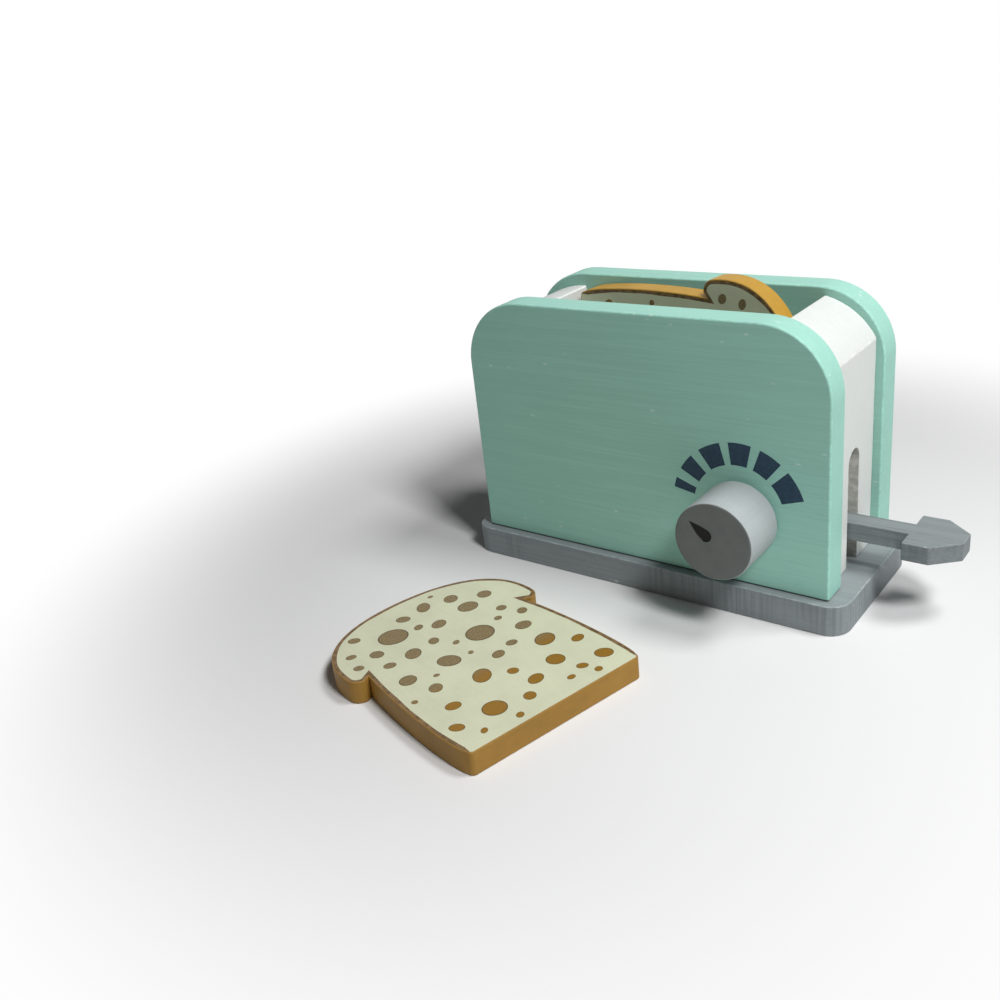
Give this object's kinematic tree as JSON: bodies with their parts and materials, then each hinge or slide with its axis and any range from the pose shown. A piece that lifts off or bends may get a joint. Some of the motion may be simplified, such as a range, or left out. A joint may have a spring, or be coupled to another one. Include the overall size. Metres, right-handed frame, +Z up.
{
  "type": "toy toaster",
  "caption": "Painted wooden toy toaster: boxy body with a bread well, an arrow lever that lifts the bread, a turning knob, and toast slices.",
  "frame": {"origin": "centre of the base plate's underside", "axes": "+X towards the lever, -Y towards the board that carries the knob, +Z up"},
  "size_m": [0.2189, 0.2144, 0.1305],
  "materials": {
    "mint_paint": "satin paint over planed wood",
    "grey_paint": "satin paint over planed wood",
    "white_paint": "satin paint over planed wood",
    "bare_wood": "sanded, unpainted",
    "toast_paint": "printed cream faces and golden brown painted edges",
    "screw_steel": "zinc plated"
  },
  "bodies": {
    "housing": {"base_plate": "grey_paint", "front_board": "mint_paint", "rear_board": "mint_paint", "lever_end_block": "white_paint", "far_end_block": "white_paint", "far_rest_block": "bare_wood", "lever_rest_block": "bare_wood", "front_board_screw_1": "screw_steel", "front_board_screw_2": "screw_steel", "rear_board_screw_1": "screw_steel", "rear_board_screw_2": "screw_steel", "lever_block_screw_1": "screw_steel", "lever_block_screw_2": "screw_steel", "far_block_screw_1": "screw_steel", "far_block_screw_2": "screw_steel", "front_lever_low_dowel": "bare_wood", "front_lever_high_dowel": "bare_wood", "front_far_low_dowel": "bare_wood", "front_far_high_dowel": "bare_wood", "rear_lever_low_dowel": "bare_wood", "rear_lever_high_dowel": "bare_wood", "rear_far_low_dowel": "bare_wood", "rear_far_high_dowel": "bare_wood"},
    "lever_carriage": {"lever": "grey_paint", "bread_platform": "bare_wood", "platform_screw_1": "screw_steel", "platform_screw_2": "screw_steel"},
    "knob_assembly": {"knob": "grey_paint", "knob_screw": "screw_steel", "knob_washer": "screw_steel"},
    "slice_in_well": {"toast_in_well": "toast_paint"},
    "slice_on_table": {"toast_on_table": "toast_paint"}
  },
  "joints": [
    {"name": "carriage_lift", "type": "slide", "parent": "housing", "child": "lever_carriage", "axis": [0, 0, 1], "range_m": [0, 0.0275]},
    {"name": "knob_turn", "type": "hinge", "parent": "housing", "child": "knob_assembly", "pos_m": [0.0476, -0.046, 0.0434], "axis": [0, -1, 0], "continuous": true},
    {"name": "slice_in_well_lift", "type": "slide", "parent": "lever_carriage", "child": "slice_in_well", "axis": [0, 0, 1], "range_m": [0, 0.1]},
    {"name": "slice_on_table_lift", "type": "slide", "parent": "housing", "child": "slice_on_table", "axis": [0, 0, 1], "range_m": [0, 0.1]}
  ]
}
